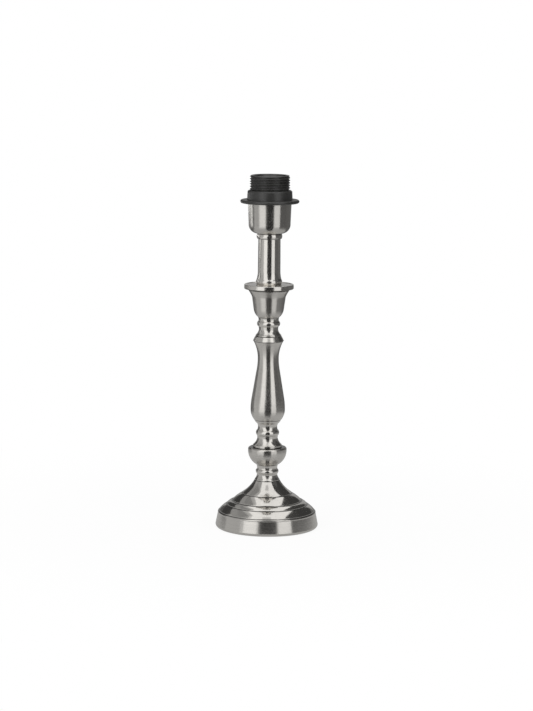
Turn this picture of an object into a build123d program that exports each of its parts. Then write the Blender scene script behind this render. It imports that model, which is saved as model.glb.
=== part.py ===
from build123d import *
import os

# Table lamp base, in millimetres, standing on z = 0 with the lamp's axis on Z.
# A turned candlestick of metal pieces is clamped on one threaded tube, between a nut under the cast
# weight in the stepped foot and the cap of the lampholder in the cup at the top.
# Radii are named _radius, and heights are counted upwards from the bottom of the piece they belong to.

# Fits and common values
running_gap = 0.1
press_gap = 0.05
cut_overrun = 1.0

# Threaded tube, nut and washers
tube_radius = 5.0
tube_bore_radius = 3.6
tube_end_below_nut = 1.0
tube_depth_in_cap = 7.8
nut_flats = 14.0
nut_height = 4.0
nut_chamfer = 0.8
lock_washer_radius = 8.5
lock_washer_thickness = 0.8
lock_washer_teeth = 12
lock_tooth_depth = 1.2
weight_washer_radius = 13.0
weight_washer_thickness = 1.5

# Foot: spun shell with a tapering rim and a stepped dome
foot_height = 48.5
shell_wall = 1.2
rim_radius = 51.7
rim_edge_roll = 3.2
rim_taper = 2.3
rim_height_share = 0.309
rim_shoulder_bulge = 0.35
step_ledge = 0.5
step_riser = 0.7
step_bulge = 0.45
step_radius_shares = (0.932, 0.781, 0.667, 0.478)
step_height_shares = (0.362, 0.500, 0.580, 0.735)
dome_hollow = 1.05
dome_top_radius = 12.7

# Felt pad and cast weight in the foot
pad_thickness = 1.5
pad_proud = 0.3
pad_edge_gap = 0.4
weight_edge_gap = 1.6
weight_rim_drop = 0.4
weight_chamfer = 2.5
weight_boss_radius = 9.5
weight_boss_flare = 4.0
weight_recess_radius = 15.0
weight_recess_depth = 11.0

# Bush of the cord's hole at the back of the rim
bush_height = 8.3
bush_bore_radius = 3.2
bush_body_radius = 4.2
bush_flange_radius = 5.3
bush_flange_proud = 1.6
bush_inner_length = 3.0
cord_channel_gap = 0.4

# Three necks with a bead, each from its wide foot to its head
foot_neck_height = 16.0
foot_neck_foot_radius = 12.5
foot_neck_waist_radius = 10.3
foot_neck_waist_height = 5.6
foot_neck_bead_radius = 11.6
foot_neck_bead_height = 9.1
foot_neck_bead_half = 2.0
foot_neck_throat_radius = 10.4
foot_neck_head_radius = 11.0
foot_neck_hollow = 0.4

lower_neck_height = 27.8
lower_neck_foot_radius = 14.6
lower_neck_foot_height = 2.4
lower_neck_waist_radius = 10.2
lower_neck_waist_height = 9.4
lower_neck_bead_radius = 11.7
lower_neck_bead_height = 14.8
lower_neck_bead_half = 2.7
lower_neck_throat_radius = 10.4
lower_neck_head_radius = 10.8
lower_neck_hollow = 0.95
lower_neck_cap_height = 3.2
lower_neck_cap_radius = 13.3

upper_neck_height = 18.6
upper_neck_foot_radius = 12.8
upper_neck_waist_radius = 9.6
upper_neck_waist_height = 6.4
upper_neck_bead_radius = 11.4
upper_neck_bead_height = 12.1
upper_neck_bead_half = 2.7
upper_neck_throat_radius = 10.2
upper_neck_head_radius = 10.5
upper_neck_hollow = 0.25

neck_lip = 0.8
neck_flare_share = 0.18
quirk = 0.3

# Bowl, baluster and knop
bowl_height = 17.7
bowl_radius = 19.4
bowl_bottom_radius = 11.1
bowl_belly_height = 14.5
bowl_belly_bulge = 2.3
bowl_shoulder_height = 1.8
bowl_top_radius = 17.8

baluster_height = 80.0
baluster_belly_radius = 17.25
baluster_belly_height = 11.4
baluster_bottom_radius = 13.5
baluster_waist_radius = 10.5
baluster_waist_height = 62.5
baluster_top_radius = 14.9
baluster_belly_bulge = 1.1
baluster_taper_bulge = 0.22
baluster_taper_low_radius = 16.35
baluster_taper_low_height = 22.1
baluster_taper_high_radius = 11.4
baluster_taper_high_height = 51.8
baluster_flare_bulge = 1.1
baluster_wall = 3.0

knop_height = 5.4
knop_edge_radius = 15.5
knop_edge_height = 0.4
knop_top_radius = 13.0
knop_groove = 0.3

# Bell cup and drip pan
bell_height = 28.0
bell_bottom_radius = 10.5
bell_corner_height = 8.2
bell_corner_radius = 15.1
bell_corner_bulge = 0.9
bell_waist_height = 20.5
bell_waist_radius = 16.8
bell_lip_radius = 20.7
bell_flare_bulge = 0.3
bell_lip_drop = 0.6
bell_wall = 1.5

pan_height = 5.4
pan_rim_radius = 24.75
pan_seat_radius = 20.0
pan_seat_height = 0.7
pan_band_bottom = 1.9
pan_band_top = 4.6
pan_lip_round = 0.6
pan_lip_width = 0.8
pan_dish_depth = 0.5
pan_floor_height = 3.4
pan_hollow_radius = 18.0

# Candle tube and bead ring
candle_height = 45.6
candle_radius = 11.3
candle_top_radius = 11.1
candle_foot_radius = 12.3
candle_foot_height = 4.6
candle_foot_bulge = 0.65
candle_flare_radius = 12.2
candle_flare_height = 5.4
candle_flare_top = 12.0
candle_wall = 1.1
spigot_height = 3.0

collar_height = 5.2
collar_radius = 12.8
collar_end_radius = 12.2

# Cup around the lampholder
cup_height = 30.3
cup_holder_gap = 0.7
cup_corner = 9.0
cup_taper = 0.8
cup_wall = 1.0

# Shade ring, with the flange that presses on a shade
ring_bore_gap = 0.25
ring_flange_reach = 6.75
ring_flange_height = 3.2
ring_flange_round = 1.2
ring_height = 12.5
ring_collar_wall = 2.4
ring_collar_taper = 0.4
ring_collar_chamfer = 1.0

# Lampholder skirt, with its outside thread's crests as a plain wall above the shade ring
skirt_thread_over_shell = 6.7
skirt_height_over_cup = 27.5
skirt_depth_in_cup = 11.5
skirt_lower_step = 0.5
skirt_wall = 1.4
skirt_chamfer = 1.2
skirt_mouth_lip = 3.4
skirt_mouth_depth = 4.5
skirt_shelf_thickness = 3.0
skirt_shelf_inset = 0.4

# Edison shell for an E27 bulb
shell_radius = 13.3
shell_metal = 0.45
shell_length = 18.5
shell_lip_inset = 1.5

# Contact block, its flange clamped between cap and skirt
block_height = 14.0
block_flange_height = 2.0
block_flange_gap = 0.3
block_recess_inset = 0.8
block_recess_depth = 2.5

# Cap of the lampholder
cap_wall = 1.9
cap_neck_radius = 8.0
cap_neck_height = 4.0
cap_dome_height = 10.5
cap_floor_height = 10.8
cap_body_inset = 0.7

# Grub screw in the neck of the cap
grub_radius = 1.5
grub_height = 2.0

# Terminals and contacts
terminal_edge_gap = 0.13
terminal_length = 3.8
terminal_width = 6.0
terminal_depth_in_block = 10.5
terminal_wire_hole_radius = 1.2
terminal_wire_hole_height = 3.4
terminal_screw_radius = 1.4
terminal_screw_length = 5.0
terminal_head_radius = 1.9
terminal_head_height = 1.6

tongue_thickness = 0.5
tongue_width = 5.0
tongue_height = 2.1
tongue_slot_height = 1.2
tongue_slot_length = 2.0
tongue_root_gap = 0.2
tongue_arm_reach = 1.7
tongue_rise = 2.7
tongue_plateau_half = 2.8
tongue_lip_reach = 1.4
tongue_lip_drop = 1.1
tongue_post_top = 1.0

strip_thickness = 0.5
strip_width = 4.0

# Levels of the pieces, each standing on the one below
shell_bottom = pad_proud
dome_top = foot_height
rim_height = rim_height_share * (dome_top - shell_bottom)
weight_height = rim_height - weight_rim_drop
bowl_bottom = dome_top + foot_neck_height
lower_neck_bottom = bowl_bottom + bowl_height
baluster_bottom = lower_neck_bottom + lower_neck_height
knop_bottom = baluster_bottom + baluster_height
upper_neck_bottom = knop_bottom + knop_height
bell_bottom = upper_neck_bottom + upper_neck_height
pan_bottom = bell_bottom + bell_height
candle_bottom = pan_bottom + pan_height
collar_bottom = candle_bottom + candle_height
cup_bottom = collar_bottom + collar_height
cup_top = cup_bottom + cup_height
skirt_top = cup_top + skirt_height_over_cup
skirt_bottom = cup_top - skirt_depth_in_cup
shell_top = skirt_top - skirt_mouth_depth
shell_seat = shell_top - shell_length
shelf_bottom = shell_seat - skirt_shelf_thickness
cap_top = shelf_bottom - block_flange_height
block_bottom = shelf_bottom - block_height
block_floor = shelf_bottom - block_recess_depth
cap_bottom = cup_bottom + cup_wall

# Radii and places that follow from the ones above
hole_radius = tube_radius + running_gap
rim_top_radius = rim_radius - rim_taper
skirt_thread_radius = shell_radius + skirt_thread_over_shell
cup_top_radius = skirt_thread_radius + cup_holder_gap + cup_wall
cup_bottom_radius = cup_top_radius - cup_taper
ring_bore_radius = skirt_thread_radius + ring_bore_gap
ring_collar_radius = ring_bore_radius + ring_collar_wall
ring_collar_top_radius = ring_collar_radius - ring_collar_taper
ring_flange_radius = ring_collar_radius + ring_flange_reach
skirt_lower_radius = skirt_thread_radius - skirt_lower_step
skirt_inner_radius = skirt_lower_radius - skirt_wall
skirt_mouth_radius = skirt_thread_radius - skirt_mouth_lip
skirt_shelf_radius = shell_radius - skirt_shelf_inset
shell_lip_radius = shell_radius - shell_lip_inset
cap_body_radius = skirt_lower_radius - cap_body_inset
cap_thread_radius = skirt_inner_radius - running_gap
block_recess_radius = shell_radius - block_recess_inset
terminal_outer_x = (block_recess_radius**2 - (terminal_width / 2) ** 2) ** 0.5 - terminal_edge_gap
terminal_inner_x = terminal_outer_x - terminal_length

# Levels inside the foot, from the weight's recess down to the tube's end
weight_bottom = pad_thickness
recess_top = weight_bottom + weight_recess_depth
lock_washer_top = recess_top - weight_washer_thickness
nut_top = lock_washer_top - lock_washer_thickness
nut_bottom = nut_top - nut_height
tube_bottom = nut_bottom - tube_end_below_nut
tube_top = cap_bottom + tube_depth_in_cap
tongue_level = block_floor + tongue_height


def outline(*corners):
    """Edges of a closed outline. A corner is (radius, height), or (radius, height, bulge) if an arc
    reaches it; a positive bulge lies on the right of the way there, seen along the outline."""
    edges = []
    for start, end in zip(corners, corners[1:] + corners[:1]):
        if len(end) == 3 and end[2]:
            edges.append(SagittaArc(start[:2], end[:2], -end[2]))
        else:
            edges.append(Line(start[:2], end[:2]))
    return edges


def half_section(*corners):
    """Face of a closed outline, before it is turned about the axis."""
    return make_face(outline(*corners))


def turned(section):
    """Solid turned about the Z axis from a half section drawn in radius and height."""
    return revolve(Plane.XZ * section, Axis.Z)


def ring(inner, outer, bottom, top):
    """Plain round ring between two radii and two levels."""
    return Pos(0, 0, bottom) * Cylinder(outer, top - bottom, align=(Align.CENTER, Align.CENTER, Align.MIN)) - (
        Pos(0, 0, bottom - cut_overrun)
        * Cylinder(inner, top - bottom + 2 * cut_overrun, align=(Align.CENTER, Align.CENTER, Align.MIN))
    )


def disc(radius, bottom, top):
    """Plain round disc between two levels."""
    return Pos(0, 0, bottom) * Cylinder(radius, top - bottom, align=(Align.CENTER, Align.CENTER, Align.MIN))


def bored(solid, bottom, top):
    """The solid with the hole for the threaded tube through it."""
    return solid - disc(hole_radius, bottom - cut_overrun, top + cut_overrun)


def beaded_neck(
    bottom, height, foot_r, foot_h, waist_r, waist_h, bead_r, bead_h, bead_half, throat_r, head_r, hollow
):
    """Turned neck: trumpet foot, waist, bead between two quirks, throat and a slightly flared head."""
    bead_low = bottom + bead_h - bead_half
    bead_high = bottom + bead_h + bead_half
    waist_end = waist_r + quirk
    head_level = bottom + height
    section = half_section(
        (hole_radius, bottom),
        (foot_r, bottom),
        (foot_r, bottom + foot_h),
        (waist_r, bottom + waist_h, -neck_flare_share * (foot_r - waist_r)),
        (waist_end, bead_low),
        (waist_end + quirk, bead_low),
        (throat_r + quirk, bead_high, bead_r - waist_end - quirk),
        (throat_r, bead_high),
        (head_r, head_level, -hollow),
        (hole_radius, head_level),
    )
    return turned(section)


def threaded_tube():
    """Threaded tube that every other piece is strung on."""
    return ring(tube_bore_radius, tube_radius, tube_bottom, tube_top)


def dome_corners():
    """Corners of the dome from the rim inwards: each step ends in a ledge and a riser."""
    corners = []
    radii = [share * rim_radius for share in step_radius_shares]
    levels = [shell_bottom + share * (dome_top - shell_bottom) for share in step_height_shares]
    for index, (radius, level) in enumerate(zip(radii, levels)):
        bulge = rim_shoulder_bulge if index == 0 else step_bulge
        corners += [(radius + step_ledge, level - step_riser, bulge), (radius, level - step_riser), (radius, level)]
    return corners


def shell_section():
    """Half section of the foot's outside, filled to the axis."""
    return half_section(
        (0, shell_bottom),
        (rim_radius - rim_edge_roll, shell_bottom),
        (rim_radius, shell_bottom + rim_edge_roll, rim_edge_roll * (1 - 0.5**0.5)),
        (rim_top_radius, shell_bottom + rim_height),
        *dome_corners(),
        (dome_top_radius, dome_top, -dome_hollow),
        (0, dome_top),
    )


def bush_axis(solid):
    """Turns a solid made along Z so that it points backwards, at the height of the cord's hole."""
    return Pos(0, 0, bush_height) * Rot(-90, 0, 0) * solid


def base_shell():
    """Spun shell of the foot: one sheet with a rolled edge, a stepped dome and the cord's hole."""
    outside = shell_section()
    inside = offset(outside, amount=-shell_wall, kind=Kind.INTERSECTION)
    shell = turned(outside) - turned(inside)
    shell -= disc(rim_radius - rim_edge_roll, shell_bottom - cut_overrun, shell_bottom + 2 * shell_wall)
    shell = bored(shell, shell_bottom, dome_top)
    return shell - bush_axis(disc(bush_body_radius, rim_radius / 2, rim_radius + cut_overrun))


def felt_pad():
    """Felt disc inside the rolled edge, on which the lamp stands."""
    return disc(rim_radius - rim_edge_roll - pad_edge_gap, 0, pad_thickness)


def base_weight():
    """Cast weight with a boss up to the dome, a recess for the nut and a channel for the cord."""
    edge = rim_radius - rim_edge_roll - weight_edge_gap
    top = weight_bottom + weight_height
    channel = bush_body_radius + cord_channel_gap
    weight = turned(
        half_section(
            (hole_radius, weight_bottom),
            (edge, weight_bottom),
            (edge, top - weight_chamfer),
            (edge - weight_chamfer, top),
            (weight_boss_radius + weight_boss_flare, top),
            (weight_boss_radius, top + weight_boss_flare, -weight_boss_flare * (1 - 0.5**0.5)),
            (weight_boss_radius, dome_top - shell_wall),
            (hole_radius, dome_top - shell_wall),
        )
    )
    weight -= disc(weight_recess_radius, weight_bottom - cut_overrun, recess_top)
    slot_height = bush_height + channel - weight_bottom
    slot = Pos(0, 0, weight_bottom - cut_overrun) * Box(
        2 * channel, rim_radius, slot_height + cut_overrun, align=(Align.CENTER, Align.MIN, Align.MIN)
    )
    return weight - slot


def weight_washer():
    """Large washer under the weight."""
    return ring(hole_radius, weight_washer_radius, lock_washer_top, recess_top)


def base_lock_washer():
    """Washer with teeth around its edge."""
    washer = ring(hole_radius, lock_washer_radius, nut_top, lock_washer_top)
    gap = Pos(lock_washer_radius, 0, nut_top - cut_overrun) * Cylinder(
        lock_tooth_depth, lock_washer_thickness + 2 * cut_overrun, align=(Align.CENTER, Align.CENTER, Align.MIN)
    )
    return washer - PolarLocations(0, lock_washer_teeth) * gap


def base_nut():
    """Hexagon nut with a chamfer on the corners of its free face."""
    nut = Pos(0, 0, nut_bottom) * extrude(RegularPolygon(nut_flats / 2, 6, major_radius=False), nut_height)
    cone_top = nut_bottom + nut_height
    blank = turned(
        half_section(
            (0, nut_bottom),
            (nut_flats / 2, nut_bottom),
            (nut_flats / 2 + 2 * nut_chamfer, nut_bottom + nut_chamfer),
            (nut_flats / 2 + 2 * nut_chamfer, cone_top),
            (0, cone_top),
        )
    )
    return bored(nut & blank, nut_bottom, cone_top)


def cord_bush():
    """Bush pushed through the rim from outside, its flange shaped to the rim."""
    outer_end = rim_radius + bush_flange_proud
    inner_end = rim_top_radius - shell_wall - bush_inner_length
    bush = turned(
        half_section(
            (bush_bore_radius, inner_end),
            (bush_body_radius, inner_end),
            (bush_body_radius, rim_top_radius - bush_flange_proud),
            (bush_flange_radius, rim_top_radius - bush_flange_proud),
            (bush_flange_radius, outer_end - bush_flange_proud / 2),
            (bush_flange_radius - bush_flange_proud / 2, outer_end, bush_flange_proud / 8),
            (bush_bore_radius, outer_end),
        )
    )
    through = ring(bush_bore_radius, bush_body_radius, inner_end, rim_radius)
    return bush_axis(bush) - turned(shell_section()) + bush_axis(through)


def foot_neck():
    """Neck that stands on the foot."""
    return beaded_neck(
        dome_top,
        foot_neck_height,
        foot_neck_foot_radius,
        neck_lip,
        foot_neck_waist_radius,
        foot_neck_waist_height,
        foot_neck_bead_radius,
        foot_neck_bead_height,
        foot_neck_bead_half,
        foot_neck_throat_radius,
        foot_neck_head_radius,
        foot_neck_hollow,
    )


def lower_neck():
    """Neck on the bowl, with a wide trumpet foot and a rounded cap under the baluster."""
    cap_bottom_level = baluster_bottom - lower_neck_cap_height
    neck = beaded_neck(
        lower_neck_bottom,
        lower_neck_height - lower_neck_cap_height,
        lower_neck_foot_radius,
        lower_neck_foot_height,
        lower_neck_waist_radius,
        lower_neck_waist_height,
        lower_neck_bead_radius,
        lower_neck_bead_height,
        lower_neck_bead_half,
        lower_neck_throat_radius,
        lower_neck_head_radius,
        lower_neck_hollow,
    )
    cap = turned(
        half_section(
            (hole_radius, cap_bottom_level),
            (lower_neck_head_radius + quirk, cap_bottom_level),
            (lower_neck_cap_radius, baluster_bottom, quirk),
            (hole_radius, baluster_bottom),
        )
    )
    return neck + cap


def upper_neck():
    """Neck between the knop and the bell cup."""
    return beaded_neck(
        upper_neck_bottom,
        upper_neck_height,
        upper_neck_foot_radius,
        neck_lip,
        upper_neck_waist_radius,
        upper_neck_waist_height,
        upper_neck_bead_radius,
        upper_neck_bead_height,
        upper_neck_bead_half,
        upper_neck_throat_radius,
        upper_neck_head_radius,
        upper_neck_hollow,
    )


def bowl_knop():
    """Half-round bowl with a rounded shoulder."""
    shoulder = lower_neck_bottom - bowl_shoulder_height
    return turned(
        half_section(
            (hole_radius, bowl_bottom),
            (bowl_bottom_radius, bowl_bottom),
            (bowl_radius, bowl_bottom + bowl_belly_height, bowl_belly_bulge),
            (bowl_radius, shoulder),
            (bowl_top_radius, lower_neck_bottom, bowl_shoulder_height / 4),
            (hole_radius, lower_neck_bottom),
        )
    )


def baluster_section():
    """Half section of the baluster's outside, filled to the axis: belly, straight taper, waist and flare."""
    return half_section(
        (0, baluster_bottom),
        (baluster_bottom_radius, baluster_bottom),
        (baluster_belly_radius, baluster_bottom + baluster_belly_height, baluster_belly_bulge),
        (baluster_taper_low_radius, baluster_bottom + baluster_taper_low_height, baluster_taper_bulge),
        (baluster_taper_high_radius, baluster_bottom + baluster_taper_high_height),
        (baluster_waist_radius, baluster_bottom + baluster_waist_height, -baluster_taper_bulge),
        (baluster_top_radius, knop_bottom, -baluster_flare_bulge),
        (0, knop_bottom),
    )


def baluster():
    """Long cast body, cored out to an even wall."""
    outside = baluster_section()
    inside = offset(outside, amount=-baluster_wall, kind=Kind.INTERSECTION)
    core = turned(inside) + disc(
        baluster_wall + cut_overrun, baluster_bottom + baluster_wall, knop_bottom - baluster_wall
    )
    return bored(turned(outside) - core, baluster_bottom, knop_bottom)


def upper_knop():
    """Sharp-edged knop with a groove under the neck's foot."""
    edge = knop_bottom + knop_edge_height
    return turned(
        half_section(
            (hole_radius, knop_bottom),
            (baluster_top_radius, knop_bottom),
            (knop_edge_radius, edge),
            (knop_top_radius + knop_groove, upper_neck_bottom - 2 * knop_groove),
            (knop_top_radius - knop_groove, upper_neck_bottom - knop_groove),
            (knop_top_radius, upper_neck_bottom),
            (hole_radius, upper_neck_bottom),
        )
    )


def bell_cup():
    """Spun bell-shaped cup, open at the top, with a groove left under the drip pan."""
    corner = bell_bottom + bell_corner_height
    waist = bell_bottom + bell_waist_height
    lip = pan_bottom - bell_lip_drop
    outside = half_section(
        (0, bell_bottom),
        (bell_bottom_radius, bell_bottom),
        (bell_corner_radius, corner, bell_corner_bulge),
        (bell_waist_radius, waist),
        (bell_lip_radius, lip, -bell_flare_bulge),
        (pan_seat_radius, lip),
        (pan_seat_radius, pan_bottom),
        (0, pan_bottom),
    )
    inside = offset(outside, amount=-bell_wall, kind=Kind.INTERSECTION)
    mouth = disc(pan_seat_radius - bell_wall, pan_bottom - 2 * bell_wall, pan_bottom + cut_overrun)
    return bored(turned(outside) - turned(inside) - mouth, bell_bottom, pan_bottom)


def drip_pan():
    """Shallow dish with a banded rim, hollow underneath, with a spigot for the tube."""
    band_bottom = pan_bottom + pan_band_bottom
    band_top = pan_bottom + pan_band_top
    lip_top = band_top + pan_lip_round
    lip_outer = pan_rim_radius - pan_lip_round
    lip_inner = lip_outer - pan_lip_width
    spigot = candle_top_radius - candle_wall - running_gap
    pan = turned(
        half_section(
            (hole_radius, pan_bottom + pan_floor_height),
            (pan_hollow_radius, pan_bottom),
            (pan_seat_radius, pan_bottom),
            (pan_seat_radius, pan_bottom + pan_seat_height),
            (pan_rim_radius - pan_lip_round, pan_bottom + pan_seat_height),
            (pan_rim_radius, band_bottom, pan_lip_round / 2),
            (pan_rim_radius, band_top),
            (lip_outer, lip_top, pan_lip_round / 4),
            (lip_inner, lip_top),
            (lip_inner - pan_dish_depth, lip_top - pan_dish_depth),
            (candle_foot_radius + quirk, candle_bottom),
            (hole_radius, candle_bottom),
        )
    )
    return pan + ring(hole_radius, spigot, candle_bottom, candle_bottom + spigot_height)


def candle_tube():
    """Drawn tube, slightly tapered, with a bead at its foot."""
    inner = candle_top_radius - candle_wall
    return turned(
        half_section(
            (inner, candle_bottom),
            (candle_foot_radius, candle_bottom),
            (candle_foot_radius + quirk, candle_bottom + candle_foot_height, candle_foot_bulge),
            (candle_flare_radius, candle_bottom + candle_flare_height),
            (candle_radius, candle_bottom + candle_flare_top, -quirk / 2),
            (candle_top_radius, collar_bottom),
            (inner, collar_bottom),
        )
    )


def tube_collar():
    """Bead ring on top of the tube, with a spigot down into it."""
    spigot = candle_top_radius - candle_wall - running_gap
    bead = turned(
        half_section(
            (hole_radius, collar_bottom),
            (collar_end_radius, collar_bottom),
            (collar_end_radius, cup_bottom, collar_radius - collar_end_radius),
            (hole_radius, cup_bottom),
        )
    )
    return bead + ring(hole_radius, spigot, collar_bottom - spigot_height, collar_bottom)


def cup_section():
    """Half section of the cup's outside, filled to the axis."""
    return half_section(
        (0, cup_bottom),
        (cup_bottom_radius - cup_corner, cup_bottom),
        (cup_bottom_radius, cup_bottom + cup_corner, cup_corner * (1 - 0.5**0.5)),
        (cup_top_radius, cup_top),
        (0, cup_top),
    )


def holder_cup():
    """Cup that hides the cap of the lampholder."""
    outside = cup_section()
    inside = offset(outside, amount=-cup_wall, kind=Kind.INTERSECTION)
    mouth = disc(cup_top_radius - cup_wall, cup_top - 2 * cup_wall, cup_top + cut_overrun)
    return bored(turned(outside) - turned(inside) - mouth, cup_bottom, cup_top)


def shade_ring():
    """Collar with a flange, its inside thread taken as a plain bore."""
    flange_top = cup_top + ring_flange_height
    top = cup_top + ring_height
    return turned(
        half_section(
            (ring_bore_radius, cup_top),
            (ring_flange_radius - ring_flange_round, cup_top),
            (ring_flange_radius - ring_flange_round, flange_top, ring_flange_round),
            (ring_collar_radius, flange_top),
            (ring_collar_top_radius, top - ring_collar_chamfer),
            (ring_collar_top_radius - ring_collar_chamfer, top),
            (ring_bore_radius, top),
        )
    )


def holder_skirt():
    """Threaded skirt of the lampholder: the shade ring's thread outside, the Edison shell's seat inside."""
    shell_hole = shell_radius + shell_metal + press_gap
    exposed = cup_top + ring_height
    return turned(
        half_section(
            (skirt_inner_radius, skirt_bottom),
            (skirt_lower_radius, skirt_bottom),
            (skirt_lower_radius, exposed),
            (skirt_thread_radius, exposed),
            (skirt_thread_radius, skirt_top - skirt_chamfer),
            (skirt_thread_radius - skirt_chamfer, skirt_top),
            (skirt_mouth_radius, skirt_top),
            (shell_hole, shell_top),
            (shell_hole, shell_seat),
            (skirt_shelf_radius, shell_seat),
            (skirt_shelf_radius, shelf_bottom),
            (skirt_inner_radius, shelf_bottom),
        )
    )


def screw_shell():
    """Edison shell, its thread taken as a plain wall, with a lip that the side strip touches."""
    outer = shell_radius + shell_metal
    return turned(
        half_section(
            (shell_lip_radius, shell_seat),
            (outer, shell_seat),
            (outer, shell_top),
            (shell_radius, shell_top),
            (shell_radius, shell_seat + shell_metal),
            (shell_lip_radius, shell_seat + shell_metal),
        )
    )


def terminal_box(x_low, x_high, bottom, top, gap=0):
    """Block between two places on X and two levels, as wide as a terminal, grown sideways by a gap."""
    return Pos((x_low + x_high) / 2, 0, bottom) * Box(
        x_high - x_low + 2 * gap,
        terminal_width + 2 * gap,
        top - bottom,
        align=(Align.CENTER, Align.CENTER, Align.MIN),
    )


def contact_block():
    """Insulating block with a clamped flange, a recess for the tongue and a pocket for each terminal."""
    body = block_recess_radius + (cap_thread_radius - block_recess_radius) / 2
    block = disc(body, block_bottom, shelf_bottom) + disc(skirt_inner_radius - block_flange_gap, cap_top, shelf_bottom)
    block -= disc(block_recess_radius, block_floor, shelf_bottom + cut_overrun)
    for x_low, x_high in ((-terminal_outer_x, -terminal_inner_x), (terminal_inner_x, terminal_outer_x)):
        block -= terminal_box(x_low, x_high, block_bottom - cut_overrun, block_floor + cut_overrun, press_gap)
    return block


def holder_cap():
    """Cap of the lampholder: neck with the tube's bore, dome, and the wall that the skirt screws on."""
    dome_low = cap_bottom + cap_neck_height
    dome_high = cap_bottom + cap_dome_height
    floor = cap_bottom + cap_floor_height
    inner = cap_thread_radius - cap_wall + running_gap
    cap = turned(
        half_section(
            (hole_radius, cap_bottom),
            (cap_neck_radius, cap_bottom),
            (cap_neck_radius, dome_low),
            (cap_body_radius, dome_high, cap_wall),
            (cap_body_radius, skirt_bottom),
            (cap_thread_radius, skirt_bottom),
            (cap_thread_radius, cap_top),
            (inner, cap_top),
            (inner, floor),
            (hole_radius, floor),
        )
    )
    return cap - grub_place(grub_radius + press_gap, cap_neck_radius + cut_overrun)


def grub_place(radius, end):
    """Rod along X from the tube outwards, at the level of the grub screw."""
    return Pos(0, 0, cap_bottom + grub_height) * Rot(0, 90, 0) * disc(radius, tube_radius, end)


def cap_lock_screw():
    """Grub screw in the cap's neck that presses on the tube."""
    return grub_place(grub_radius, cap_neck_radius)


def terminal_bottom():
    """Level of the underside of both terminals."""
    return block_floor - terminal_depth_in_block


def terminal_bores(x_low, x_high):
    """Screw hole from below and wire hole across one terminal."""
    middle = (x_low + x_high) / 2
    hole = terminal_screw_radius + press_gap
    screw_hole = Pos(middle, 0, 0) * disc(
        hole, terminal_bottom() - cut_overrun, terminal_bottom() + terminal_screw_length + press_gap
    )
    wire_hole = Pos(middle, -terminal_width, terminal_bottom() + terminal_wire_hole_height) * Rot(-90, 0, 0) * disc(
        terminal_wire_hole_radius, 0, 2 * terminal_width
    )
    return screw_hole + wire_hole


def centre_terminal():
    """Terminal with a slot at its top that holds the root of the tongue."""
    slot_bottom = tongue_level - tongue_slot_height / 2
    post_top = tongue_level + tongue_slot_height / 2 + tongue_post_top
    post = terminal_box(-terminal_outer_x, -terminal_inner_x, terminal_bottom(), post_top)
    slot = terminal_box(
        -terminal_inner_x - tongue_slot_length, -terminal_inner_x + cut_overrun, slot_bottom,
        slot_bottom + tongue_slot_height, cut_overrun,
    )
    return post - slot - terminal_bores(-terminal_outer_x, -terminal_inner_x)


def shell_terminal():
    """Terminal of the screw shell, its top flush with the strip's foot."""
    post = terminal_box(terminal_inner_x, terminal_outer_x, terminal_bottom(), block_floor)
    return post - terminal_bores(terminal_inner_x, terminal_outer_x)


def terminal_screws():
    """The two wire screws, driven from below."""
    middle = (terminal_inner_x + terminal_outer_x) / 2
    head_bottom = terminal_bottom() - terminal_head_height
    screw = disc(terminal_head_radius, head_bottom, terminal_bottom()) + disc(
        terminal_screw_radius, terminal_bottom(), terminal_bottom() + terminal_screw_length
    )
    return [Pos(x, 0, 0) * screw for x in (-middle, middle)]


def side_contact():
    """Bent strip from the shell's terminal up to the lip of the screw shell."""
    foot = terminal_box(terminal_inner_x, terminal_outer_x, block_floor, block_floor + strip_thickness)
    upright = Pos(terminal_outer_x - strip_thickness / 2, 0, block_floor) * Box(
        strip_thickness, strip_width, shell_seat - block_floor, align=(Align.CENTER, Align.CENTER, Align.MIN)
    )
    return foot + upright


def centre_contact():
    """Sprung tongue: root in its terminal's slot, rising arm, plateau under the bulb's tip and turned-down lip."""
    root = -terminal_inner_x - tongue_slot_length + tongue_root_gap
    arm_start = -terminal_inner_x + tongue_arm_reach
    top = tongue_level + tongue_rise
    path = FilletPolyline(
        (root, tongue_level),
        (arm_start, tongue_level),
        (-tongue_plateau_half, top),
        (tongue_plateau_half, top),
        (tongue_plateau_half + tongue_lip_reach, top - tongue_lip_drop),
        radius=tongue_thickness,
    )
    section = offset(path, amount=tongue_thickness / 2, side=Side.BOTH)
    return extrude(Plane.XZ * make_face(section), tongue_width / 2, both=True)


def write(name, solid):
    """Writes one piece, or a group of alike pieces, to its own file."""
    shape = Compound(children=list(solid)) if isinstance(solid, list) else solid
    shape.label = name
    export_step(shape, f"parts/{name}.step")


def main():
    """Builds every piece and writes it."""
    os.makedirs("parts", exist_ok=True)
    pieces = (
        threaded_tube,
        base_shell,
        base_weight,
        felt_pad,
        weight_washer,
        base_lock_washer,
        base_nut,
        cord_bush,
        foot_neck,
        bowl_knop,
        lower_neck,
        baluster,
        upper_knop,
        upper_neck,
        bell_cup,
        drip_pan,
        candle_tube,
        tube_collar,
        holder_cup,
        holder_cap,
        cap_lock_screw,
        contact_block,
        centre_terminal,
        shell_terminal,
        terminal_screws,
        side_contact,
        centre_contact,
        screw_shell,
        holder_skirt,
        shade_ring,
    )
    for piece in pieces:
        write(piece.__name__, piece())


main()
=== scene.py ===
"""Looks of a turned candlestick table lamp base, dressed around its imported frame.

The classes hold their sizes in millimetres, with the lamp's axis on Z and the table at height 0.
Meshes are made in metres, in the frame's own place, so that every piece sits where its solid is.
Only the studio around the lamp is given in metres.
"""

import logging
import math
from dataclasses import dataclass
from enum import Enum

import bpy
from mathutils import Matrix, Vector


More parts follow.
